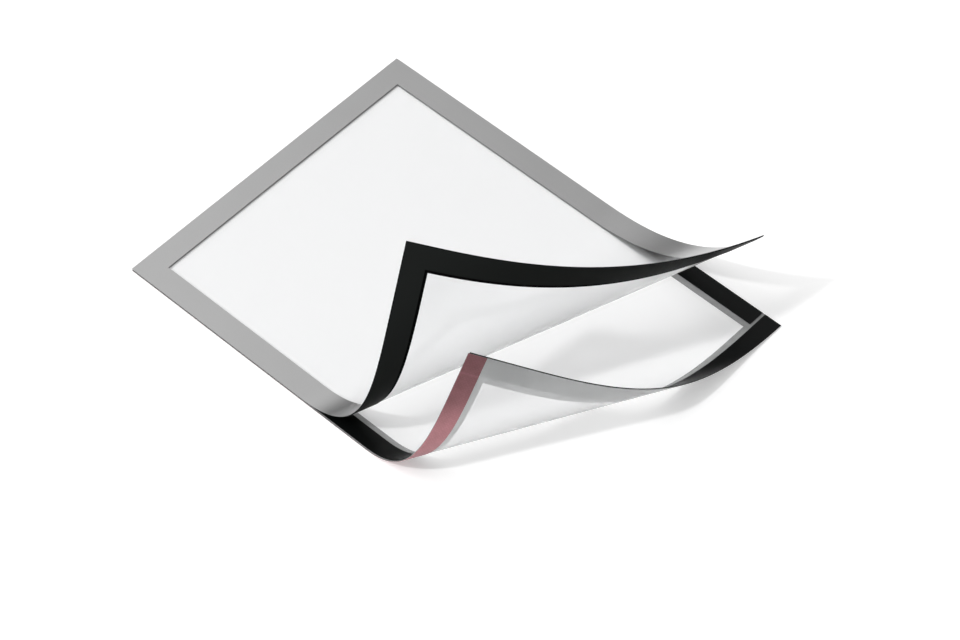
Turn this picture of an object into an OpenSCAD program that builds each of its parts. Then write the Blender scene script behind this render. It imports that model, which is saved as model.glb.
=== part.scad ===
// Flexible magnetic frame for one printed sheet: a hinged cover over a self-adhesive back.
// The frame lies with its free corner curled up, so that cover and back stand apart there.
// X runs from the hinge edge to the free end, Y along the hinge edge, Z up from the surface.
// Each sheet is a flat laminate that bends along a fan of straight creases: every layer is cut
// from the flat pattern and folded by the same creases, so the layers stay face to face.

/* [Insert] */
// Width of the printed sheet that the frame holds
insert_w = 210; // [148:1:297]
// Length of the printed sheet that the frame holds
insert_l = 297; // [260:1:420]
// Play between the edge of the insert and the magnet strips
insert_play = 1; // [0.3:0.1:2]
// Width of the insert's edge that the printed border hides
border_lap = 3; // [1:0.5:6]

/* [Cover] */
// Thickness of the clear cover film
cover_film_t = 0.2; // [0.1:0.05:0.5]
// Thickness of the silver border on top of the cover film
silver_border_t = 0.05; // [0.03:0.01:0.1]
// Thickness of the black backing print under the cover film
black_print_t = 0.05; // [0.03:0.01:0.1]
// Thickness of the cover's one-piece magnet frame
cover_magnet_t = 0.4; // [0.3:0.05:1]
// Width of the black print left bare outside the magnet frame
cover_magnet_trim = 0.5; // [0.2:0.1:2]
// Width of the black print left bare inside the magnet frame
black_rim_w = 1.8; // [0.5:0.1:4]

/* [Back] */
// Thickness of the clear back film
back_film_t = 0.2; // [0.1:0.05:0.5]
// Thickness of the grey border printed on the back film
grey_border_t = 0.05; // [0.03:0.01:0.1]
// Width of a base magnet strip
strip_w = 11.9; // [8:0.1:20]
// Thickness of a base magnet strip
strip_t = 0.4; // [0.3:0.05:1]
// Border left bare outside the base strips, along every outer edge
edge_trim = 0.1; // [0.1:0.1:2]
// Extra border left bare outside the strips along the near long side
near_strip_shift = 0.8; // [0:0.1:1]
// Gap between the ends of the base magnet strips at a corner
strip_gap = 2; // [0.5:0.1:5]

/* [Adhesive] */
// Width of a double-sided adhesive tape under a long side of the back
tape_w = 12; // [8:0.5:15]
// Thickness of an adhesive tape
tape_t = 0.15; // [0.1:0.05:0.5]
// Thickness of the release liner on an adhesive tape
liner_t = 0.1; // [0.05:0.01:0.2]

/* [Hinge] */
// Width of each leaf of the folded hinge tape
hinge_leaf_w = 10; // [5:0.5:13]
// Thickness of the hinge tape
hinge_leaf_t = 0.08; // [0.05:0.01:0.15]
// Space between the two leaves of the hinge tape when the cover is shut
hinge_gap = 0.14; // [0.1:0.01:0.3]

/* [Cover curl] */
// Distance from the free end to the first crease, along the near long side
cover_curl_start = 177.3; // [150:0.1:220]
// Distance from the free end to the last crease, along the near long side
cover_curl_end = 23.8; // [5:0.1:60]
// Angle of the first crease from the Y direction, in degrees
cover_first_angle = 8.6; // [2:0.1:30]
// Angle of the last crease from the Y direction, in degrees
cover_last_angle = 65.8; // [45:0.1:70]
// Angle that the cover turns through over all its creases, in degrees
cover_turn_angle = 132.3; // [110:0.1:150]
// Easing of the turn: below 1 bends sooner, above 1 later
cover_ease_ratio = 0.692; // [0.6:0.001:1]

/* [Back curl] */
// Distance from the free end to the first crease, along the near long side
back_curl_start = 123.6; // [90:0.1:140]
// Distance from the free end to the last crease, along the near long side
back_curl_end = 24.3; // [5:0.1:60]
// Angle of the first crease from the Y direction, in degrees
back_first_angle = 27.2; // [15:0.1:35]
// Angle of the last crease from the Y direction, in degrees
back_last_angle = 38.9; // [36:0.1:60]
// Angle that the back turns through over all its creases, in degrees
back_turn_angle = 112.2; // [60:0.1:120]
// Easing of the turn: below 1 bends sooner, above 1 later
back_ease_ratio = 0.636; // [0.5:0.001:1]

/* [Folding] */
// Number of creases that stand for each smooth bend
creases = 36; // [16:1:48]

/* [Hidden] */

// Outer size, and the width of the printed borders
side_w = edge_trim + strip_w + insert_play;
frame_w = insert_w + 2 * side_w;
frame_l = insert_l + 2 * side_w;
border_w = side_w + border_lap;
cover_magnet_in = border_w - black_rim_w;

// Heights of the back's layers, counted from the top of its film
back_film_z = liner_t + tape_t + back_film_t;
strip_top = grey_border_t + strip_t;

// Heights of the cover's layers, counted from the underside of its film
hinge_axis_z = back_film_z + strip_top + hinge_leaf_t + hinge_gap / 2;
cover_magnet_under = -black_print_t - cover_magnet_t;
cover_film_z = hinge_axis_z + hinge_gap / 2 + hinge_leaf_t - cover_magnet_under;

// A sheet's curl: [first and last crease along the near side, their slants, turn, easing, height]
cover_curl = [frame_l - cover_curl_start, frame_l - cover_curl_end,
    cover_first_angle, cover_last_angle, cover_turn_angle, cover_ease_ratio, cover_film_z];
back_curl = [frame_l - back_curl_start, frame_l - back_curl_end,
    back_first_angle, back_last_angle, back_turn_angle, back_ease_ratio, back_film_z];

// A crease starts on the near side at crease_x and slants away from it
function along(curl, i) = (i + 0.5) / creases;
function crease_x(curl, i) = curl[0] + (curl[1] - curl[0]) * along(curl, i);
function crease_slant(curl, i) = curl[2] + (curl[3] - curl[2]) * along(curl, i);
function eased(share, ease) = let (e = pow(share, ease)) e * e * (3 - 2 * e);
function crease_fold(curl, i) =
    curl[4] * (eased((i + 1) / creases, curl[5]) - eased(i / creases, curl[5]));

// Matrix that folds the free side of crease i up by an angle
function fold_up(curl, i, angle) =
    let (
        s = sin(crease_slant(curl, i)),
        c = cos(crease_slant(curl, i)),
        sa = sin(-angle),
        ca = cos(-angle),
        turn = [
            [s * s * (1 - ca) + ca, s * c * (1 - ca), c * sa],
            [s * c * (1 - ca), c * c * (1 - ca) + ca, -s * sa],
            [-c * sa, s * sa, ca]
        ],
        foot = [crease_x(curl, i), 0, 0],
        move = foot - turn * foot
    )
    [for (r = [0 : 3]) r == 3 ? [0, 0, 0, 1] : concat(turn[r], [move[r]])];

// Matrix of each facet between two creases, and of each crease folded half way
function facet_places(curl) = [
    for (
        i = 0, place = [[1, 0, 0, 0], [0, 1, 0, 0], [0, 0, 1, curl[6]], [0, 0, 0, 1]];
        i <= creases;
        place = place * fold_up(curl, i, crease_fold(curl, i)), i = i + 1
    ) place];
function crease_places(curl, places) = [
    for (i = [0 : creases - 1]) places[i] * fold_up(curl, i, crease_fold(curl, i) / 2)];

// A corner of a flat outline is [x, y, crease that it lies on or -1, wall on the edge after it]
function corner(x, y, wall) = [x, y, -1, wall];
function rectangle(x0, x1, y0, y1) = [[
    corner(x0, y0, true), corner(x1, y0, true), corner(x1, y1, true), corner(x0, y1, true)]];
function frame_ring(outer, inner) =
    let (
        o = [[outer, outer], [frame_l - outer, outer],
            [frame_l - outer, frame_w - outer], [outer, frame_w - outer]],
        n = [[inner, inner], [frame_l - inner, inner],
            [frame_l - inner, frame_w - inner], [inner, frame_w - inner]]
    )
    [for (a = [0 : 3]) let (b = (a + 1) % 4) [
        corner(o[a].x, o[a].y, true), corner(o[b].x, o[b].y, false),
        corner(n[b].x, n[b].y, true), corner(n[a].x, n[a].y, false)]];

// Distance of a corner past crease i, and where the edge from a to b crosses that crease
touching = 0.000001;
function past(curl, i, v) =
    let (d = (v.x - crease_x(curl, i)) * cos(crease_slant(curl, i))
        - v.y * sin(crease_slant(curl, i)))
    abs(d) < touching ? 0 : d;
function comes_first(a, b) = a.x < b.x || (a.x == b.x && a.y < b.y);
function crossing(curl, i, a, b, wall) =
    let (
        p = comes_first(a, b) ? a : b,
        q = comes_first(a, b) ? b : a,
        t = past(curl, i, p) / (past(curl, i, p) - past(curl, i, q))
    )
    [p.x + t * (q.x - p.x), p.y + t * (q.y - p.y), i, wall];

// The part of a convex outline before crease i (side -1) or past it (side 1)
function cut_at(curl, i, outline, side) = [
    for (j = [0 : len(outline) - 1])
        let (
            a = outline[j],
            b = outline[(j + 1) % len(outline)],
            da = side * past(curl, i, a),
            db = side * past(curl, i, b)
        )
        each concat(
            da > 0 ? [a] : da == 0 ? [[a.x, a.y, i, db >= 0 && a[3]]] : [],
            da * db < 0 ? [crossing(curl, i, a, b, db > 0 && a[3])] : []
        )];

// The facets of an outline, each as [facet number, outline]
function facets(curl, outline, i = 0) =
    len(outline) < 3 ? [] :
    i == creases ? [[i, outline]] :
    let (before = cut_at(curl, i, outline, -1))
    concat(
        len(before) < 3 ? [] : [[i, before]],
        facets(curl, cut_at(curl, i, outline, 1), i + 1)
    );

// Where a corner of facet k goes when the sheet is folded, at height w in the laminate
function folded(curl, places, halves, k, v, w) =
    let (p = v[2] < 0
        ? places[k] * [v.x, v.y, w, 1]
        : halves[v[2]] * [v.x, v.y, w / cos(crease_fold(curl, v[2]) / 2), 1])
    [p.x, p.y, p.z];

// Triangles of a layer from height w0 to w1, with walls only where the outlines have them
function layer_faces(curl, outlines, w0, w1) =
    let (places = facet_places(curl), halves = crease_places(curl, places))
    [for (outline = outlines, facet = facets(curl, outline))
        let (
            k = facet[0],
            v = facet[1],
            n = len(v),
            low = [for (c = v) folded(curl, places, halves, k, c, w0)],
            high = [for (c = v) folded(curl, places, halves, k, c, w1)]
        )
        each concat(
            [for (j = [1 : n - 2]) [low[0], low[j], low[j + 1]]],
            [for (j = [1 : n - 2]) [high[0], high[j + 1], high[j]]],
            [for (j = [0 : n - 1]) if (v[j][3])
                let (m = (j + 1) % n)
                each [[low[j], high[j], high[m]], [low[j], high[m], low[m]]]]
        )];

// The origin is under the middle of the whole frame's outline as it lies
whole = [rectangle(0, frame_l, 0, frame_w)[0]];
hull_points = [
    for (face = layer_faces(cover_curl, whole, cover_magnet_under, cover_film_t + silver_border_t))
        each face,
    for (face = layer_faces(back_curl, whole, -back_film_z, strip_top)) each face];
middle_x = (min([for (p = hull_points) p.x]) + max([for (p = hull_points) p.x])) / 2;
middle_y = (min([for (p = hull_points) p.y]) + max([for (p = hull_points) p.y])) / 2;

// One layer of a sheet: the outlines cut out of the flat pattern, thickened and folded
module layer(curl, outlines, w0, w1) {
    faces = layer_faces(curl, outlines, w0, w1);
    translate([-middle_x, -middle_y, 0])
        polyhedron(
            [for (face = faces) each face],
            [for (i = [0 : len(faces) - 1]) [3 * i, 3 * i + 1, 3 * i + 2]]
        );
}

// Clear film that carries the whole back
module back_film() {
    color([0.93, 0.94, 0.95, 0.35])
        layer(back_curl, rectangle(0, frame_l, 0, frame_w), -back_film_t, 0);
}

// Grey border printed on the back film
module back_grey_border() {
    color([0.58, 0.59, 0.59])
        layer(back_curl, frame_ring(0, border_w), 0, grey_border_t);
}

// A magnet strip on the grey border of the back
module base_magnet(x0, x1, y0, y1) {
    color([0.06, 0.07, 0.07])
        layer(back_curl, rectangle(x0, x1, y0, y1), grey_border_t, strip_top);
}

strip_in = edge_trim + strip_w;
strip_end = strip_in + strip_gap;
strip_near = edge_trim + near_strip_shift;

module base_magnet_hinge_side() {
    base_magnet(edge_trim, strip_in, strip_near, frame_w - edge_trim);
}

module base_magnet_free_end() {
    base_magnet(frame_l - strip_in, frame_l - edge_trim, strip_near, frame_w - edge_trim);
}

module base_magnet_near_side() {
    base_magnet(strip_end, frame_l - strip_end, strip_near, strip_near + strip_w);
}

module base_magnet_far_side() {
    base_magnet(strip_end, frame_l - strip_end, frame_w - strip_in, frame_w - edge_trim);
}

// A double-sided tape under a long side of the back film, from y0 to y1
module adhesive_tape(y0, y1) {
    color([0.85, 0.84, 0.80])
        layer(back_curl, rectangle(0, frame_l, y0, y1), -back_film_t - tape_t, -back_film_t);
}

module adhesive_tape_near_side() {
    adhesive_tape(0, tape_w);
}

module adhesive_tape_far_side() {
    adhesive_tape(frame_w - tape_w, frame_w);
}

// A red release liner under an adhesive tape: the frame rests on the two liners
module release_liner(y0, y1) {
    color([0.66, 0.38, 0.40])
        layer(back_curl, rectangle(0, frame_l, y0, y1), -back_film_z, -back_film_t - tape_t);
}

module release_liner_near_side() {
    release_liner(0, tape_w);
}

module release_liner_far_side() {
    release_liner(frame_w - tape_w, frame_w);
}

// The hinge tape is one strip folded along the hinge edge: a leaf on each magnet
module hinge_tape_back_leaf() {
    color([0.80, 0.82, 0.83])
        layer(back_curl, rectangle(0, hinge_leaf_w, strip_near, frame_w - edge_trim),
            strip_top, strip_top + hinge_leaf_t);
}

module hinge_tape_cover_leaf() {
    color([0.80, 0.82, 0.83])
        layer(cover_curl, rectangle(0, hinge_leaf_w, strip_near, frame_w - edge_trim),
            cover_magnet_under - hinge_leaf_t, cover_magnet_under);
}

// One-piece magnet frame under the cover
module cover_magnet_frame() {
    color([0.12, 0.13, 0.13])
        layer(cover_curl, frame_ring(cover_magnet_trim, cover_magnet_in),
            cover_magnet_under, -black_print_t);
}

// Black print behind the silver border
module cover_black_print() {
    color([0.02, 0.02, 0.02])
        layer(cover_curl, frame_ring(0, border_w), -black_print_t, 0);
}

// Clear window film that carries the whole cover
module cover_film() {
    color([0.93, 0.94, 0.95, 0.35])
        layer(cover_curl, rectangle(0, frame_l, 0, frame_w), 0, cover_film_t);
}

// Silver border on the front of the cover
module cover_silver_border() {
    color([0.70, 0.70, 0.70])
        layer(cover_curl, frame_ring(0, border_w), cover_film_t, cover_film_t + silver_border_t);
}

back_film();
back_grey_border();
base_magnet_hinge_side();
base_magnet_free_end();
base_magnet_near_side();
base_magnet_far_side();
adhesive_tape_near_side();
adhesive_tape_far_side();
release_liner_near_side();
release_liner_far_side();
hinge_tape_back_leaf();
hinge_tape_cover_leaf();
cover_magnet_frame();
cover_black_print();
cover_film();
cover_silver_border();
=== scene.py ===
"""Looks of a flexible magnetic frame for one printed sheet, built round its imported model.

The cover and the back are flat laminates. Each layer is cut from its sheet's flat pattern, given
its thickness, and folded with its neighbours along the fan of creases that its sheet bends by.
Sizes are in millimetres and angles in degrees, and meshes are written in metres.
"""
import logging
import math
from dataclasses import dataclass, field
from enum import Enum

import bpy
import numpy as np
from mathutils import Matrix, Vector


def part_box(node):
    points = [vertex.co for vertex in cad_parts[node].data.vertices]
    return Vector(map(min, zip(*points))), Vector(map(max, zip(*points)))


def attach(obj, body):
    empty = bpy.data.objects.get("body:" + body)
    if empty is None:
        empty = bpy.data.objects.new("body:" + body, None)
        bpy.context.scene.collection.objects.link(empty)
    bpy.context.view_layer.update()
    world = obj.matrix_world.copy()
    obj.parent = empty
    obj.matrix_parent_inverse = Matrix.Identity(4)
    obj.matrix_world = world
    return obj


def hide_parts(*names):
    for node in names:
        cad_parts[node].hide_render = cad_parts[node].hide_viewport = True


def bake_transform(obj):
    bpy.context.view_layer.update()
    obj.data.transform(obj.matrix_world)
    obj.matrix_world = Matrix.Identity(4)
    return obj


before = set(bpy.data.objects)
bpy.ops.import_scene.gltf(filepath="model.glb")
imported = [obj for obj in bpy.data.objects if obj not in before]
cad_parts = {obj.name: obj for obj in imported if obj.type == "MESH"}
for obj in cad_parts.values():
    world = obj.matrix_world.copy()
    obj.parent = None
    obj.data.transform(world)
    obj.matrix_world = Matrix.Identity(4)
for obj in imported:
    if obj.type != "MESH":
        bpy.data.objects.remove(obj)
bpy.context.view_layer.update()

LOG = logging.getLogger("magnetic_frame")
MM = 0.001
PATTERN = "flat_pattern"

# Metres within which two vertices are one, and millimetres within which a point is on a crease
WELD = 1e-6
ON_CREASE = 0.002

Point = tuple[float, float]
Span = tuple[float, float]
Window = tuple[float, float, float, float]
Direction = tuple[float, float, float]
Colour = tuple[float, float, float]
Socket = bpy.types.NodeSocket

WHITE: Colour = (1.0, 1.0, 1.0)


class Body(Enum):
    """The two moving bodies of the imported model."""

    BACK = "back"
    COVER = "cover"


class Grain(Enum):
    """Direction in the flat pattern that a sheet was rolled in, as the scale of its lines."""

    LENGTHWISE = (40.0, 1400.0)
    CROSSWISE = (1400.0, 40.0)


# Finishes


class Graph:
    """Node graph of one material or of the world, emptied but for its output."""

    def __init__(self, tree: bpy.types.NodeTree, output: str) -> None:
        """Empty a node tree.

        Args:
            tree: The node tree to fill.
            output: Type of its output node.
        """
        self.tree = tree
        tree.nodes.clear()
        self.output = tree.nodes.new(output)

    def add(self, kind: str, inputs: dict[str | int, object] | None = None,
            **settings: object) -> bpy.types.Node:
        """Add a node.

        Args:
            kind: Node type, without its ShaderNode prefix.
            inputs: Socket name or number to a value, or to the socket that feeds it.
            **settings: Properties of the node itself.

        Returns:
            The new node.
        """
        node = self.tree.nodes.new("ShaderNode" + kind)
        for name, value in settings.items():
            setattr(node, name, value)
        for name, value in (inputs or {}).items():
            if isinstance(value, Socket):
                self.tree.links.new(value, node.inputs[name])
            else:
                node.inputs[name].default_value = value
        return node

    def calc(self, operation: str, *values: object) -> Socket:
        """Return the result of a Math node on numbers or sockets."""
        return self.add("Math", dict(enumerate(values)), operation=operation).outputs[0]

    def noise(self, place: Socket, scale: float, detail: float = 2.0) -> Socket:
        """Return the strength of a noise texture at a place."""
        return self.add("TexNoise", {"Vector": place, "Scale": scale, "Detail": detail}).outputs[0]

    def spread(self, value: Socket, low: float, high: float, source: Span = (0.3, 0.7),
               shape: str = "LINEAR") -> Socket:
        """Map a value to a range.

        Args:
            value: The value, such as a texture's strength.
            low: Result at the lower end of source.
            high: Result at the upper end of source.
            source: The part of the value's range that is used.
            shape: How the result goes from one end to the other.

        Returns:
            The mapped value.
        """
        return self.add("MapRange", {0: value, 1: source[0], 2: source[1], 3: low, 4: high},
                        interpolation_type=shape).outputs[0]

    def ease(self, value: Socket, low: float, high: float, source: Span) -> Socket:
        """Map a value to a range as spread does, with a soft start and end."""
        return self.spread(value, low, high, source, "SMOOTHSTEP")

    def reach(self, way: Socket, direction: Direction) -> Socket:
        """Return how far a vector reaches in a direction."""
        return self.add("VectorMath", {0: way, 1: direction}, operation="DOT_PRODUCT"
                        ).outputs["Value"]

    def bump(self, height: Socket, depth: float) -> Socket:
        """Return the normal of a surface with a relief of a given depth in millimetres."""
        return self.add("Bump", {"Height": height, "Distance": depth * MM, "Strength": 1.0}
                        ).outputs[0]

    def blend(self, share: object, first: Socket, second: Socket) -> Socket:
        """Return a mix of two shaders: share 0 is the first, 1 the second."""
        return self.add("MixShader", {0: share, 1: first, 2: second}).outputs[0]

    def shade(self, colour: Colour, value: Socket) -> Socket:
        """Return a colour multiplied by a value."""
        return self.add("VectorMath", {0: colour, 3: value}, operation="SCALE").outputs[0]

    def finish(self, surface: Socket) -> None:
        """Join a shader to the output."""
        self.tree.links.new(surface, self.output.inputs["Surface"])


@dataclass(frozen=True)
class Finish:
    """A surface finish. Patterns follow the flat pattern of the sheet, in metres."""

    name: str
    colour: Colour
    roughness: float

    def material(self) -> bpy.types.Material:
        """Make the finish's material, or find it where it is made already.

        Returns:
            The material.
        """
        made = bpy.data.materials.get(self.name)
        if made is None:
            made = bpy.data.materials.new(self.name)
            made.use_nodes = True
            graph = Graph(made.node_tree, "ShaderNodeOutputMaterial")
            place = graph.add("UVMap", uv_map=PATTERN).outputs[0]
            graph.finish(self.surface(graph, place))
        return made

    def surface(self, graph: Graph, place: Socket) -> Socket:
        """Build the finish's shader.

        Args:
            graph: Graph of the material.
            place: Place in the flat pattern.

        Returns:
            The shader's socket.
        """
        raise NotImplementedError

    def principled(self, graph: Graph, colour: Socket, roughness: Socket, normal: Socket,
                   **plain: float) -> Socket:
        """Add a Principled shader.

        Args:
            graph: Graph of the material.
            colour: Base colour.
            roughness: Roughness.
            normal: Surface normal.
            **plain: Uniform values, with _ for the spaces in the socket's name.

        Returns:
            The shader's socket.
        """
        inputs = {"Base Color": colour, "Roughness": roughness, "Normal": normal}
        inputs.update({name.replace("_", " "): value for name, value in plain.items()})
        return graph.add("BsdfPrincipled", inputs).outputs[0]

    def rough(self, graph: Graph, texture: Socket, change: Span) -> Socket:
        """Return the finish's roughness, changed by a texture's strength."""
        return graph.spread(texture, self.roughness + change[0], self.roughness + change[1])


@dataclass(frozen=True)
class ClearFilm(Finish):
    """Clear matt film: it blurs what lies behind it, more so the farther off it is, and holds
    more light back at a slant."""

    blur: float = 0.45
    index: float = 1.13
    gloss: float = 0.035
    slant_gloss: float = 0.5
    slant_gloss_power: float = 5.0
    slant_shade: float = 6.0
    slant_shade_power: float = 4.0
    haze: Span = (0.0024, 0.0056)
    haze_colour: Colour = (0.86, 0.87, 0.88)
    haze_scale: float = 70.0
    wave_scale: float = 9.0
    wave_depth: float = 0.02

    def surface(self, graph: Graph, place: Socket) -> Socket:
        """Build the film's shader: one for looking at it, one for the light that it passes.

        Args:
            graph: Graph of the material.
            place: Place in the flat pattern.

        Returns:
            The shader's socket.
        """
        slant = graph.add("LayerWeight", {"Blend": 0.5}).outputs["Facing"]
        clear = graph.add("BsdfGlass", {"Color": (*self.colour, 1.0), "Roughness": self.blur,
                                        "IOR": self.index}, distribution="MULTI_GGX").outputs[0]
        haze = graph.spread(graph.noise(place, self.haze_scale, detail=4.0), *self.haze)
        veil = graph.add("BsdfDiffuse", {"Color": (*self.haze_colour, 1.0)}).outputs[0]
        waves = graph.bump(graph.noise(place, self.wave_scale, detail=0.0), self.wave_depth)
        gloss = graph.add("BsdfGlossy", {"Roughness": self.roughness, "Normal": waves}).outputs[0]
        rise = graph.calc("MULTIPLY_ADD", graph.calc("POWER", slant, self.slant_gloss_power),
                          self.slant_gloss, self.gloss)
        seen = graph.blend(rise, graph.blend(haze, clear, veil), gloss)
        held = graph.calc("MULTIPLY", graph.calc("POWER", slant, self.slant_shade_power),
                          self.slant_shade)
        passed = graph.calc("MAXIMUM", graph.calc("SUBTRACT", 1.0, held), 0.0)
        lit = graph.add("BsdfTransparent", {"Color": graph.shade(WHITE, passed)}).outputs[0]
        rays = graph.add("LightPath").outputs
        lighting = graph.calc("MAXIMUM", rays["Is Shadow Ray"], rays["Is Diffuse Ray"])
        return graph.blend(lighting, seen, lit)


@dataclass(frozen=True)
class CutEdge(Finish):
    """Frosted cut edge of a film."""

    cover: float = 0.6
    nick_scale: float = 1800.0
    nick_tone: Span = (0.85, 1.0)
    nick_rough: Span = (0.0, 0.25)
    relief: float = 0.004

    def surface(self, graph: Graph, place: Socket) -> Socket:
        """See Finish.surface."""
        nicks = graph.noise(place, self.nick_scale)
        body = self.principled(
            graph, graph.shade(self.colour, graph.spread(nicks, *self.nick_tone)),
            self.rough(graph, nicks, self.nick_rough), graph.bump(nicks, self.relief))
        return graph.blend(self.cover, graph.add("BsdfTransparent").outputs[0], body)


@dataclass(frozen=True)
class SilverPrint(Finish):
    """Satin silver ink with a fine metallic grain."""

    metallic: float = 0.9
    coat: float = 0.12
    coat_roughness: float = 0.2
    flake_scale: float = 2600.0
    flake_tone: Span = (0.94, 1.06)
    flake_rough: Span = (-0.04, 0.05)
    drift_scale: float = 24.0
    drift_tone: Span = (0.985, 1.015)
    relief: float = 0.0015

    def surface(self, graph: Graph, place: Socket) -> Socket:
        """See Finish.surface."""
        flakes = graph.noise(place, self.flake_scale, detail=3.0)
        drift = graph.noise(place, self.drift_scale)
        tone = graph.calc("MULTIPLY", graph.spread(flakes, *self.flake_tone),
                          graph.spread(drift, *self.drift_tone))
        return self.principled(
            graph, graph.shade(self.colour, tone), self.rough(graph, flakes, self.flake_rough),
            graph.bump(flakes, self.relief), Metallic=self.metallic, Coat_Weight=self.coat,
            Coat_Roughness=self.coat_roughness)


@dataclass(frozen=True)
class BlackPrint(Finish):
    """Dense black backing ink, matter than the magnet beside it."""

    gloss: float = 0.02
    screen_scale: float = 1500.0
    screen_tone: Span = (0.7, 1.4)
    screen_rough: Span = (0.0, 0.12)
    relief: float = 0.001

    def surface(self, graph: Graph, place: Socket) -> Socket:
        """See Finish.surface."""
        screen = graph.noise(place, self.screen_scale, detail=3.0)
        return self.principled(
            graph, graph.shade(self.colour, graph.spread(screen, *self.screen_tone)),
            self.rough(graph, screen, self.screen_rough), graph.bump(screen, self.relief),
            Specular_IOR_Level=self.gloss)


@dataclass(frozen=True)
class Magnet(Finish):
    """Black flexible magnet: rolled rubber, with faint lines along the way it was rolled."""

    grain: Grain = Grain.LENGTHWISE
    gloss: float = 0.22
    line_rough: Span = (-0.03, 0.06)
    speck_scale: float = 3200.0
    speck_tone: Span = (0.75, 1.35)
    speck_height: float = 0.5
    relief: float = 0.0025

    def surface(self, graph: Graph, place: Socket) -> Socket:
        """See Finish.surface."""
        along = graph.add("Mapping", {"Vector": place, "Scale": (*self.grain.value, 1.0)}
                          ).outputs[0]
        lines = graph.noise(along, 1.0, detail=3.0)
        specks = graph.noise(place, self.speck_scale)
        height = graph.calc("MULTIPLY_ADD", specks, self.speck_height, lines)
        return self.principled(
            graph, graph.shade(self.colour, graph.spread(specks, *self.speck_tone)),
            self.rough(graph, lines, self.line_rough), graph.bump(height, self.relief),
            Specular_IOR_Level=self.gloss)


@dataclass(frozen=True)
class VeiledPrint(Finish):
    """Layer that lets part of the light through: a screened ink, a liner or a tape."""

    cover: float = 0.5
    dots: float = 1900.0
    satin: float = 0.0
    fleck: Span = (0.9, 1.1)
    # Where the gap between two strips lies, and how much a painted highlight brightens the layer
    # over it
    gap: Span | None = None
    gap_painted_highlight: float = 1.18
    dot_turn: float = 45.0
    dot_jitter: float = 0.35
    dot_edge: Span = (0.1, 0.6)
    dot_cover: Span = (1.04, 0.93)
    cloud_scale: float = 160.0
    cloud_cover: Span = (0.98, 1.02)
    cloud_rough: Span = (0.0, 0.06)
    relief: float = 0.001

    def surface(self, graph: Graph, place: Socket) -> Socket:
        """Build the layer's shader, whose screen of dots leaves some of it clear.

        Args:
            graph: Graph of the material.
            place: Place in the flat pattern.

        Returns:
            The shader's socket.
        """
        turn = (0.0, 0.0, math.radians(self.dot_turn))
        turned = graph.add("Mapping", {"Vector": place, "Rotation": turn}).outputs[0]
        screen = graph.add("TexVoronoi", {"Vector": turned, "Scale": self.dots,
                                          "Randomness": self.dot_jitter}).outputs["Distance"]
        cloud = graph.noise(place, self.cloud_scale, detail=4.0)
        inner, outer = (self.cover * share for share in self.dot_cover)
        ink = graph.calc("MULTIPLY", graph.spread(screen, inner, outer, self.dot_edge),
                         graph.spread(cloud, *self.cloud_cover))
        tone = graph.spread(cloud, *self.fleck)
        # Painted highlight: the layer is made paler over the gap between two strips
        if self.gap:
            tone = graph.calc("MULTIPLY", tone, self.painted_gap_highlight(graph, place))
        body = self.principled(
            graph, graph.shade(self.colour, tone), self.rough(graph, cloud, self.cloud_rough),
            graph.bump(screen, self.relief), Metallic=self.satin)
        return graph.blend(ink, graph.add("BsdfTransparent").outputs[0], body)

    def painted_gap_highlight(self, graph: Graph, place: Socket) -> Socket:
        """Find the painted highlight: how much paler the layer is made over the gap between two
        strips.

        Args:
            graph: Graph of the material.
            place: Place in the flat pattern.

        Returns:
            The painted highlight's factor for the layer's tone.
        """
        low, high = (edge * MM for edge in self.gap)
        along = graph.add("SeparateXYZ", {0: place}).outputs["X"]
        off = graph.calc("ABSOLUTE", graph.calc("SUBTRACT", along, (low + high) / 2))
        return graph.ease(off, self.gap_painted_highlight, 1.0, (0.0, (high - low) / 2))


FILM = ClearFilm("window_film", (0.990, 0.991, 0.992), 0.10)
FILM_EDGE = CutEdge("film_cut_edge", (0.40, 0.405, 0.41), 0.45)
SILVER = SilverPrint("silver_ink", (0.57, 0.57, 0.57), 0.32)
BLACK_INK = BlackPrint("backing_ink", (0.0035, 0.0035, 0.0035), 0.5)
COVER_MAGNET = Magnet("cover_magnet_rubber", (0.018, 0.0197, 0.019), 0.45, gloss=0.03)
STRIP_LONG = Magnet("strip_rubber_lengthwise", (0.003, 0.0034, 0.0034), 0.34)
STRIP_SHORT = Magnet("strip_rubber_crosswise", (0.003, 0.0034, 0.0034), 0.34,
                     grain=Grain.CROSSWISE)
GREY_INK = VeiledPrint("grey_ink", (0.38, 0.384, 0.384), 0.38, cover=0.52)
GREY_REVERSE = VeiledPrint("grey_ink_reverse", (0.66, 0.67, 0.668), 0.30, cover=0.8,
                           satin=0.6)
# The liner carries a painted highlight: a paler line over the gap between the strips behind it
LINER = VeiledPrint("liner_film", (0.66, 0.305, 0.333), 0.36, cover=0.65, dots=700.0,
                    satin=0.6, fleck=(0.94, 1.06), gap=(308.8, 311.2))
TAPE = VeiledPrint("mounting_adhesive", (0.72, 0.71, 0.68), 0.55, cover=0.35, dots=900.0)
HINGE_TAPE = VeiledPrint("hinge_film", (0.74, 0.76, 0.77), 0.30, cover=0.5, dots=1200.0)


# Folding


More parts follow.
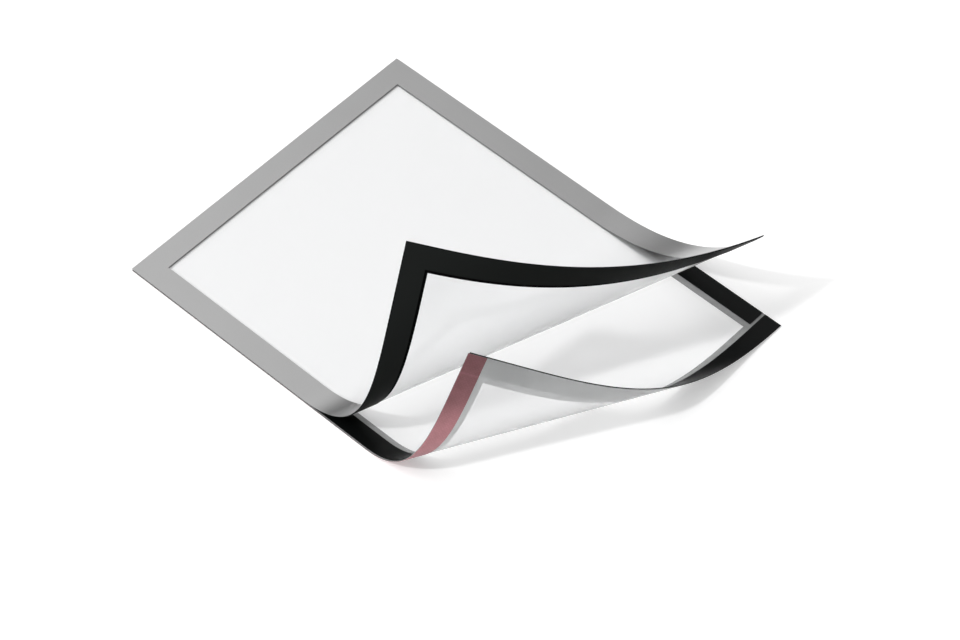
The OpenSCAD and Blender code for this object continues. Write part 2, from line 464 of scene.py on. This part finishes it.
@dataclass(frozen=True)
class Curl:
    """The fan of creases that a sheet bends along, and the height of its film when flat."""

    first_x: float
    last_x: float
    first_angle: float
    last_angle: float
    turn: float
    ease: float
    height: float
    creases: int = 144
    guards: int = 2

    def shares(self) -> np.ndarray:
        """Return where each crease lies between the first and the last, guards included."""
        return (np.arange(-self.guards, self.creases + self.guards) + 0.5) / self.creases

    def feet(self) -> np.ndarray:
        """Return where each crease starts on the near long side."""
        return self.first_x + (self.last_x - self.first_x) * self.shares()

    def slants(self) -> np.ndarray:
        """Return each crease's slant from the Y direction, in radians."""
        return np.radians(self.first_angle
                          + (self.last_angle - self.first_angle) * self.shares())

    def folds(self) -> np.ndarray:
        """Share out the sheet's turn between its creases.

        Returns:
            The angle that each crease turns the sheet by, in radians.
        """
        steps = np.clip(np.arange(-self.guards, self.creases + self.guards + 1)
                        / self.creases, 0.0, 1.0) ** self.ease
        turned = steps ** 2 * (3.0 - 2.0 * steps)
        return np.radians(self.turn) * np.diff(turned)

    def places(self) -> tuple[list[Matrix], list[Matrix]]:
        """Work out where the folded sheet's facets and creases go.

        Returns:
            The place of each facet, and of each crease folded half way.
        """
        facets, creases = [Matrix.Translation((0.0, 0.0, self.height))], []
        for foot, slant, angle in zip(self.feet(), self.slants(), self.folds()):
            axis = Vector((math.sin(slant), math.cos(slant), 0.0))
            move = Matrix.Translation((foot, 0.0, 0.0))
            back = move.inverted()
            creases.append(facets[-1] @ move @ Matrix.Rotation(-angle / 2, 4, axis) @ back)
            facets.append(facets[-1] @ move @ Matrix.Rotation(-angle, 4, axis) @ back)
        creases.append(facets[-1])
        return facets, creases

    def fold(self, flat: np.ndarray) -> np.ndarray:
        """Fold points of the flat laminate.

        Args:
            flat: Points as rows of x, y and height over the film, in millimetres.

        Returns:
            The folded points, in the pattern's frame.
        """
        slants = self.slants()
        past = ((flat[:, :1] - self.feet()) * np.cos(slants) - flat[:, 1:2] * np.sin(slants))
        beyond = (past > ON_CREASE).sum(axis=1)
        on_crease = (np.abs(past) <= ON_CREASE).any(axis=1)
        facets, creases = self.places()
        stretch = np.append(1.0 / np.cos(self.folds() / 2), 1.0)
        folded = np.empty_like(flat)
        for row, (point, number, creased) in enumerate(zip(flat, beyond, on_crease)):
            lift = point[2] * (stretch[number] if creased else 1.0)
            place = creases[number] if creased else facets[number]
            folded[row] = place @ Vector((point[0], point[1], lift))
        return folded


def only(obj: bpy.types.Object) -> None:
    """Select one object and make it active.

    Args:
        obj: The object.
    """
    bpy.ops.object.select_all(action="DESELECT")
    obj.select_set(True)
    bpy.context.view_layer.objects.active = obj


def slice_mesh(point: Point, normal: Point, drop_outer: bool = False) -> None:
    """Cut the mesh in edit mode along an upright plane.

    Args:
        point: A point of the plane in the pattern, in millimetres.
        normal: Direction across the cut.
        drop_outer: Whether what lies past the plane is removed.
    """
    bpy.ops.mesh.select_all(action="SELECT")
    bpy.ops.mesh.bisect(plane_co=(point[0] * MM, point[1] * MM, 0.0),
                        plane_no=(normal[0], normal[1], 0.0),
                        clear_outer=drop_outer, threshold=WELD)


def apply_modifier(obj: bpy.types.Object, kind: str, **settings: object) -> None:
    """Add a modifier to an object and apply it.

    Args:
        obj: The object, which is made active.
        kind: Type of the modifier.
        **settings: Properties of the modifier.
    """
    only(obj)
    modifier = obj.modifiers.new(kind.lower(), kind)
    for name, value in settings.items():
        setattr(modifier, name, value)
    bpy.ops.object.modifier_apply(modifier=modifier.name)


@dataclass(frozen=True)
class Cut:
    """Outline in the flat pattern: a rectangle, with an inner window where it is a frame."""

    x: Span
    y: Span
    window: Window | None = None


@dataclass(frozen=True)
class Layer:
    """One layer of a sheet, from a low to a high level over its film. Its rim and its underside
    may have finishes of their own."""

    name: str
    nodes: tuple[str, ...]
    slot: str
    cut: Cut
    low: float
    high: float
    finish: Finish
    rim: Finish | None = None
    under: Finish | None = None
    chamfer: float = 0.0


@dataclass
class Sheet:
    """A laminate that bends by one curl: its blank is creased once, and every layer is cut
    from a copy of it."""

    body: Body
    curl: Curl
    length: float
    width: float
    layers: list[Layer] = field(default_factory=list)
    margin: float = 1.0
    chamfered_from: float = 40.0
    smooth_to: float = 30.0
    upright: float = 0.5

    def corner(self) -> Vector:
        """Return the pattern's corner in the row frame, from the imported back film."""
        low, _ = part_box("back_film")
        return Vector((low.x, low.y, 0.0))

    def blank(self) -> bpy.types.Object:
        """Make the flat sheet, with a margin to cut from, sliced along its creases.

        Returns:
            The blank.
        """
        bpy.ops.object.select_all(action="DESELECT")
        bpy.ops.mesh.primitive_plane_add(
            size=1.0, location=(self.length / 2 * MM, self.width / 2 * MM, 0.0))
        sheet = bpy.context.object
        sheet.name = self.body.value + "_blank"
        sheet.scale = ((self.length + 2.0 * self.margin) * MM,
                       (self.width + 2.0 * self.margin) * MM, 1.0)
        bpy.ops.object.transform_apply(location=True, rotation=True, scale=True)
        sheet.data.uv_layers[0].name = PATTERN
        bpy.ops.object.mode_set(mode="EDIT")
        for foot, slant in zip(self.curl.feet(), self.curl.slants()):
            slice_mesh((foot, 0.0), (math.cos(slant), -math.sin(slant)))
        bpy.ops.object.mode_set(mode="OBJECT")
        return sheet

    def cut_layer(self, blank: bpy.types.Object, layer: Layer) -> bpy.types.Object:
        """Cut one layer out of a copy of the blank and give it its thickness.

        Args:
            blank: The creased blank.
            layer: The layer to cut.

        Returns:
            The flat layer, a closed solid.
        """
        piece = blank.copy()
        piece.data = blank.data.copy()
        piece.name = piece.data.name = layer.name
        bpy.context.scene.collection.objects.link(piece)
        only(piece)
        bpy.ops.object.mode_set(mode="EDIT")
        (x0, x1), (y0, y1) = layer.cut.x, layer.cut.y
        for point, normal in (((x1, 0.0), (1.0, 0.0)), ((x0, 0.0), (-1.0, 0.0)),
                              ((0.0, y1), (0.0, 1.0)), ((0.0, y0), (0.0, -1.0))):
            slice_mesh(point, normal, drop_outer=True)
        if layer.cut.window:
            self.open_window(piece, layer.cut.window)
        bpy.ops.mesh.select_all(action="SELECT")
        bpy.ops.transform.translate(value=(0.0, 0.0, layer.low * MM))
        bpy.ops.object.mode_set(mode="OBJECT")
        self.map_pattern(piece)
        apply_modifier(piece, "SOLIDIFY", thickness=(layer.high - layer.low) * MM, offset=1.0)
        if layer.chamfer:
            apply_modifier(piece, "BEVEL", width=layer.chamfer * MM, segments=1,
                           limit_method="ANGLE", angle_limit=math.radians(self.chamfered_from),
                           use_clamp_overlap=False)
        return piece

    def open_window(self, piece: bpy.types.Object, window: Window) -> None:
        """Cut the window out of a frame-shaped layer, in edit mode.

        Args:
            piece: The layer's flat mesh.
            window: Lowest and highest x, then lowest and highest y.
        """
        x0, x1, y0, y1 = window
        for point, normal in (((x0, 0.0), (1.0, 0.0)), ((x1, 0.0), (1.0, 0.0)),
                              ((0.0, y0), (0.0, 1.0)), ((0.0, y1), (0.0, 1.0))):
            slice_mesh(point, normal)
        bpy.ops.mesh.select_mode(type="FACE")
        bpy.ops.mesh.select_all(action="DESELECT")
        bpy.ops.object.mode_set(mode="OBJECT")
        for face in piece.data.polygons:
            x, y = face.center.x / MM, face.center.y / MM
            face.select = x0 < x < x1 and y0 < y < y1
        bpy.ops.object.mode_set(mode="EDIT")
        bpy.ops.mesh.delete(type="FACE")

    def map_pattern(self, piece: bpy.types.Object) -> None:
        """Write each corner's place in the flat pattern, in metres, to the piece's UV map.

        Args:
            piece: The layer's flat mesh.
        """
        places = np.empty(len(piece.data.vertices) * 3, np.float32)
        piece.data.vertices.foreach_get("co", places)
        corners = np.empty(len(piece.data.loops), np.int32)
        piece.data.loops.foreach_get("vertex_index", corners)
        flat = places.reshape(-1, 3)[corners, :2]
        piece.data.uv_layers[PATTERN].data.foreach_set("uv", flat.ravel())

    def finish_faces(self, piece: bpy.types.Object, layer: Layer) -> None:
        """Give a flat layer its finishes.

        Args:
            piece: The flat layer.
            layer: What the layer is made of.
        """
        used = [layer.finish] + [extra for extra in (layer.rim, layer.under) if extra]
        dress(piece, layer.slot, *used)
        for face in piece.data.polygons:
            if layer.rim and abs(face.normal.z) < self.upright:
                face.material_index = used.index(layer.rim)
            elif layer.under and face.normal.z < -self.upright:
                face.material_index = used.index(layer.under)

    def fold_up(self, piece: bpy.types.Object) -> None:
        """Fold a flat layer along the sheet's creases and put it in the row frame.

        Args:
            piece: The flat layer.
        """
        flat = np.empty(len(piece.data.vertices) * 3, np.float32)
        piece.data.vertices.foreach_get("co", flat)
        folded = self.curl.fold(flat.reshape(-1, 3).astype(float) / MM) * MM
        folded += np.array(self.corner())
        piece.data.vertices.foreach_set("co", folded.astype(np.float32).ravel())
        piece.data.update()
        only(piece)
        bpy.ops.object.shade_smooth_by_angle(angle=math.radians(self.smooth_to))

    def build(self) -> None:
        """Build every layer of the sheet."""
        blank = self.blank()
        for layer in self.layers:
            piece = self.cut_layer(blank, layer)
            self.finish_faces(piece, layer)
            self.fold_up(piece)
            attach(piece, self.body.value)
            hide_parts(*layer.nodes)
            LOG.info("%s: %d faces, on %s", piece.name, len(piece.data.polygons),
                     self.body.value)
        bpy.data.objects.remove(blank)


def dress(piece: bpy.types.Object, slot: str, *finishes: Finish) -> None:
    """Give a piece its finishes.

    Args:
        piece: The piece.
        slot: The record's material slot; not used.
        *finishes: One finish for each of its material slots.
    """
    piece.data.materials.clear()
    for finish in finishes:
        piece.data.materials.append(finish.material())


# Sub-assemblies


@dataclass
class FrameSizes:
    """Sizes of the flat patterns that the sub-assemblies share."""

    length: float = 323.0
    width: float = 236.0
    border: float = 16.0
    seam: float = 0.005

    def ring(self, outer: float, inner: float) -> Cut:
        """Return a frame-shaped cut.

        Args:
            outer: Distance of its outer edge from the sheet's edge.
            inner: Distance of its window from the sheet's edge.

        Returns:
            The cut.
        """
        return Cut((outer, self.length - outer), (outer, self.width - outer),
                   (inner, self.length - inner, inner, self.width - inner))

    def whole(self) -> Cut:
        """Return the cut of a film that covers the whole sheet."""
        return Cut((0.0, self.length), (0.0, self.width))


@dataclass
class Back:
    """Self-adhesive back: clear film, grey border, four magnet strips, tapes and liners."""

    sizes: FrameSizes
    curl: Curl = Curl(first_x=199.4, last_x=298.7, first_angle=27.2, last_angle=38.9,
                      turn=112.2, ease=0.636, height=0.45)
    film: float = 0.2
    ink: float = 0.05
    strip: float = 0.4
    tape: float = 0.15
    liner: float = 0.1
    trim: float = 0.1
    overhang: float = 0.55
    near_trim: float = 0.9
    strip_width: float = 11.9
    strip_end: float = 14.0
    tape_width: float = 12.0
    chamfer: float = 0.05

    def strips(self) -> list[Layer]:
        """Lay out the four magnet strips.

        Returns:
            Their layers.
        """
        size = self.sizes
        low, high = self.ink + size.seam, self.ink + self.strip
        inner = self.trim + self.strip_width
        across = (self.near_trim, size.width - self.trim)
        along = (self.strip_end, size.length - self.strip_end)
        cuts = {
            "hinge_side": (Cut((self.trim, inner), across), STRIP_SHORT),
            "free_end": (Cut((size.length - inner, size.length + self.overhang), across),
                         STRIP_SHORT),
            "near_side": (Cut(along, (self.near_trim, self.near_trim + self.strip_width)),
                          STRIP_LONG),
            "far_side": (Cut(along, (size.width - inner, size.width - self.trim)), STRIP_LONG),
        }
        return [Layer("magnet_strip_" + side, ("base_magnet_" + side,), "base_magnet", cut,
                      low, high, finish, chamfer=self.chamfer)
                for side, (cut, finish) in cuts.items()]

    def mounting(self) -> list[Layer]:
        """Lay out the two adhesive tapes and their release liners.

        Returns:
            Their layers.
        """
        size = self.sizes
        under_tape = -self.film - self.tape
        layers = []
        for side, y in (("near_side", (0.0, self.tape_width)),
                        ("far_side", (size.width - self.tape_width, size.width))):
            cut = Cut((0.0, size.length), y)
            layers.append(Layer("mounting_tape_" + side, ("adhesive_tape_" + side,),
                                "adhesive_tape", cut, under_tape + size.seam,
                                -self.film - size.seam, TAPE))
            layers.append(Layer("red_liner_" + side, ("release_liner_" + side,), "red_liner",
                                cut, under_tape - self.liner, under_tape - size.seam, LINER))
        return layers

    def build(self) -> None:
        """Build the back."""
        size = self.sizes
        layers = [
            Layer("back_window_film", ("back_film",), "clear_film", size.whole(),
                  -self.film + size.seam, -size.seam, FILM, rim=FILM_EDGE),
            Layer("back_border_print", ("back_grey_border",), "grey_print",
                  size.ring(0.0, size.border), size.seam, self.ink - size.seam, GREY_INK,
                  under=GREY_REVERSE),
            *self.strips(),
            *self.mounting(),
        ]
        Sheet(Body.BACK, self.curl, size.length, size.width, layers).build()


@dataclass
class Cover:
    """Hinged cover: clear film, silver border, black backing print and one magnet frame."""

    sizes: FrameSizes
    curl: Curl = Curl(first_x=145.7, last_x=299.2, first_angle=8.6, last_angle=65.8,
                      turn=132.3, ease=0.692, height=1.65)
    film: float = 0.2
    silver: float = 0.05
    backing: float = 0.05
    magnet: float = 0.4
    magnet_trim: float = 0.5
    magnet_inner: float = 14.2
    chamfer: float = 0.05

    def build(self) -> None:
        """Build the cover."""
        size = self.sizes
        layers = [
            Layer("cover_magnet_sheet", ("cover_magnet_frame",), "cover_magnet",
                  size.ring(self.magnet_trim, self.magnet_inner), -self.backing - self.magnet,
                  -self.backing - size.seam, COVER_MAGNET, chamfer=self.chamfer),
            Layer("cover_backing_print", ("cover_black_print",), "black_print",
                  size.ring(0.0, size.border), -self.backing + size.seam, -size.seam, BLACK_INK),
            Layer("cover_window_film", ("cover_film",), "clear_film", size.whole(), size.seam,
                  self.film - size.seam, FILM, rim=FILM_EDGE),
            Layer("cover_border_print", ("cover_silver_border",), "silver_print",
                  size.ring(0.0, size.border), self.film + size.seam,
                  self.film + self.silver, SILVER),
        ]
        Sheet(Body.COVER, self.curl, size.length, size.width, layers).build()


@dataclass
class Hinge:
    """Tape folded along the hinge edge: one leaf on the back's strip, one on the cover."""

    sizes: FrameSizes
    leaf: float = 10.0
    thickness: float = 0.07
    lower: float = 0.945
    upper: float = 1.155
    axis_height: float = 1.05
    near_end: float = 0.9
    far_end: float = 235.9
    steps: int = 12
    rows: int = 24
    smooth_to: float = 40.0

    def build(self) -> None:
        """Build the folded tape."""
        radius = (self.upper - self.lower) / 2
        bend_x = radius + self.thickness / 2 + self.sizes.seam
        low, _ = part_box("back_film")
        length = self.far_end - self.near_end
        bpy.ops.object.select_all(action="DESELECT")
        bpy.ops.mesh.primitive_grid_add(
            x_subdivisions=1, y_subdivisions=self.rows, size=1.0,
            location=(low.x + (bend_x + self.leaf) / 2 * MM,
                      low.y + (self.near_end + length / 2) * MM, self.lower * MM))
        tape = bpy.context.object
        tape.name = tape.data.name = "folded_hinge_tape"
        tape.scale = ((self.leaf - bend_x) * MM, length * MM, 1.0)
        bpy.ops.object.transform_apply(location=True, rotation=True, scale=True)
        self.map_leaf(tape, low)
        edge = low.x + bend_x * MM
        self.select_edge(tape, edge, self.lower * MM)
        bpy.ops.object.mode_set(mode="EDIT")
        bpy.ops.mesh.spin(steps=self.steps, angle=math.pi, axis=(0.0, 1.0, 0.0),
                          center=(edge, 0.0, self.axis_height * MM))
        bpy.ops.mesh.extrude_region_move(
            TRANSFORM_OT_translate={"value": ((self.leaf - bend_x) * MM, 0.0, 0.0)})
        bpy.ops.mesh.select_all(action="SELECT")
        bpy.ops.mesh.remove_doubles(threshold=WELD)
        bpy.ops.mesh.normals_make_consistent(inside=False)
        bpy.ops.object.mode_set(mode="OBJECT")
        apply_modifier(tape, "SOLIDIFY", thickness=self.thickness * MM, offset=0.0)
        bpy.ops.object.shade_smooth_by_angle(angle=math.radians(self.smooth_to))
        dress(tape, "hinge_tape", HINGE_TAPE)
        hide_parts("hinge_tape_back_leaf", "hinge_tape_cover_leaf")
        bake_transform(tape)
        LOG.info("%s: %d faces, on both", tape.name, len(tape.data.polygons))

    def map_leaf(self, tape: bpy.types.Object, low: Vector) -> None:
        """Name the tape's UV map and lay it out in metres.

        Args:
            tape: The lower leaf.
            low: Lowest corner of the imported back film.
        """
        layer = tape.data.uv_layers[0]
        layer.name = PATTERN
        for corner in tape.data.loops:
            place = tape.data.vertices[corner.vertex_index].co - low
            layer.data[corner.index].uv = (place.x, place.y)

    def select_edge(self, tape: bpy.types.Object, x: float, z: float) -> None:
        """Select the tape's vertices along one edge, with the mesh in vertex mode.

        Args:
            tape: The lower leaf.
            x: The edge's x, in metres.
            z: The edge's height, in metres.
        """
        bpy.ops.object.mode_set(mode="EDIT")
        bpy.ops.mesh.select_mode(type="VERT")
        bpy.ops.mesh.select_all(action="DESELECT")
        bpy.ops.object.mode_set(mode="OBJECT")
        for vertex in tape.data.vertices:
            vertex.select = abs(vertex.co.x - x) < WELD and abs(vertex.co.z - z) < WELD
        for line in tape.data.edges:
            line.select = all(tape.data.vertices[i].select for i in line.vertices)


# Studio


@dataclass
class Studio:
    """White table, a dome that brightens to the left and upwards, a key light and a camera."""

    azimuth: float = 44.019
    elevation: float = 52.298
    roll: float = -1.358
    distance: float = 1990.74
    lens: float = 122.641
    sensor: float = 36.0
    clip: Span = (0.05, 200.0)
    target: Direction = (23.839, -4.740, 0.45)
    key_from: Direction = (-0.307, -0.578, 0.756)
    key_power: float = 1.15
    key_angle: float = 4.0
    sky_from: Direction = (-0.6, -0.8, 0.0)
    sky_level: float = 0.96
    sky_slope: float = 3.4
    sky_low: float = 0.05
    horizon: Span = (0.05, 0.95)
    mirrored: float = 1.0
    dark_side: Direction = (0.69, -0.72, 0.0)
    dark_reach: Span = (0.0, 0.6)
    dark_share: float = 0.9
    fill_from: Direction = (0.69, 0.71, 0.14)
    fill_reach: Span = (0.2, 0.9)
    fill_level: float = 0.6
    floor_colour: float = 0.83
    floor_lift: float = 0.33
    floor_size: float = 60.0
    floor_drop: float = 0.05
    floor_reach: Span = (0.22, 0.40)

    def camera(self) -> None:
        """Place the camera at the viewing angle."""
        turn, tilt, roll = (math.radians(a) for a in (self.azimuth, self.elevation, self.roll))
        forward = Vector((-math.sin(turn) * math.cos(tilt), math.cos(turn) * math.cos(tilt),
                          -math.sin(tilt)))
        level = Vector((math.cos(turn), math.sin(turn), 0.0))
        upright = level.cross(forward)
        right = math.cos(roll) * level + math.sin(roll) * upright
        up = -math.sin(roll) * level + math.cos(roll) * upright
        place = (Vector(self.target) - forward * self.distance) * MM
        data = bpy.data.cameras.new("camera")
        data.lens = self.lens
        data.sensor_width = self.sensor
        data.clip_start, data.clip_end = self.clip
        camera = bpy.data.objects.new("camera", data)
        bpy.context.scene.collection.objects.link(camera)
        camera.matrix_world = Matrix(((right.x, up.x, -forward.x, place.x),
                                      (right.y, up.y, -forward.y, place.y),
                                      (right.z, up.z, -forward.z, place.z),
                                      (0.0, 0.0, 0.0, 1.0)))
        bpy.context.scene.camera = camera

    def floor(self) -> None:
        """Lay the white table, just under the liners. It looks endless, but lights the frame
        from its middle alone."""
        bpy.ops.object.select_all(action="DESELECT")
        bpy.ops.mesh.primitive_plane_add(size=self.floor_size,
                                         location=(0.0, 0.0, -self.floor_drop * MM))
        table = bpy.context.object
        table.name = "table_top"
        bpy.ops.object.transform_apply(location=True, rotation=True, scale=True)
        material = bpy.data.materials.new("table_top")
        material.use_nodes = True
        graph = Graph(material.node_tree, "ShaderNodeOutputMaterial")
        place = graph.add("TexCoord").outputs["Object"]
        away = graph.add("VectorMath", {0: place}, operation="LENGTH").outputs["Value"]
        lit = graph.ease(away, 1.0, 0.0, self.floor_reach)
        rays = graph.add("LightPath").outputs
        looking = graph.calc("MAXIMUM", rays["Is Camera Ray"], rays["Is Transmission Ray"])
        reach = graph.calc("MAXIMUM", looking, lit)
        matt = graph.add("BsdfDiffuse", {"Color": graph.shade((self.floor_colour,) * 3, reach)}
                         ).outputs[0]
        seen = graph.calc("MULTIPLY", reach,
                          graph.calc("MAXIMUM", looking, rays["Is Glossy Ray"]))
        glow = graph.add("Emission", {"Strength": graph.calc("MULTIPLY", seen, self.floor_lift)}
                         ).outputs[0]
        graph.finish(graph.add("AddShader", {0: matt, 1: glow}).outputs[0])
        table.data.materials.append(material)

    def sky(self) -> None:
        """Light the frame with a soft dome: bright on the camera's left and above, dark behind
        the camera, and with a low fill on its right. Its mirror image is held to white."""
        world = bpy.data.worlds.new("studio")
        world.use_nodes = True
        graph = Graph(world.node_tree, "ShaderNodeOutputWorld")
        way = graph.add("TexCoord").outputs["Generated"]
        across = graph.calc("MULTIPLY_ADD", graph.reach(way, self.sky_from), self.sky_slope,
                            self.sky_level)
        up = graph.add("SeparateXYZ", {0: way}).outputs["Z"]
        height = graph.ease(up, 0.0, 1.0, self.horizon)
        shaded = graph.ease(graph.reach(way, self.dark_side), 1.0, 1.0 - self.dark_share,
                            self.dark_reach)
        tent = graph.calc("MULTIPLY", graph.calc("MULTIPLY", height, shaded),
                          graph.calc("MAXIMUM", across, 0.0))
        fill = graph.ease(graph.reach(way, self.fill_from), 0.0, self.fill_level,
                          self.fill_reach)
        dome = graph.calc("ADD", graph.calc("ADD", self.sky_low, fill), tent)
        dimmed = graph.calc("MINIMUM", dome, self.mirrored)
        glossy = graph.add("LightPath").outputs["Is Glossy Ray"]
        strength = graph.add("Mix", {0: glossy, 2: dome, 3: dimmed}).outputs[0]
        graph.finish(graph.add("Background", {"Strength": strength, "Color": (*WHITE, 1.0)}
                               ).outputs[0])
        bpy.context.scene.world = world

    def key(self) -> None:
        """Hang the key light. It is left out of reflections, which it would turn white where
        the silver border bends."""
        data = bpy.data.lights.new("key", "SUN")
        data.energy = self.key_power
        data.angle = math.radians(self.key_angle)
        lamp = bpy.data.objects.new("key", data)
        bpy.context.scene.collection.objects.link(lamp)
        lamp.visible_glossy = False
        lamp.rotation_mode = "QUATERNION"
        lamp.rotation_quaternion = Vector(self.key_from).to_track_quat("Z", "Y")

    def build(self) -> None:
        """Build the studio."""
        bpy.context.scene.view_settings.view_transform = "Standard"
        self.camera()
        self.floor()
        self.sky()
        self.key()


def main() -> None:
    """Build the studio and the dressed frame."""
    logging.basicConfig(level=logging.INFO, format="%(name)s: %(message)s")
    Studio().build()
    sizes = FrameSizes()
    Back(sizes).build()
    Cover(sizes).build()
    Hinge(sizes).build()


if __name__ == "__main__":
    main()
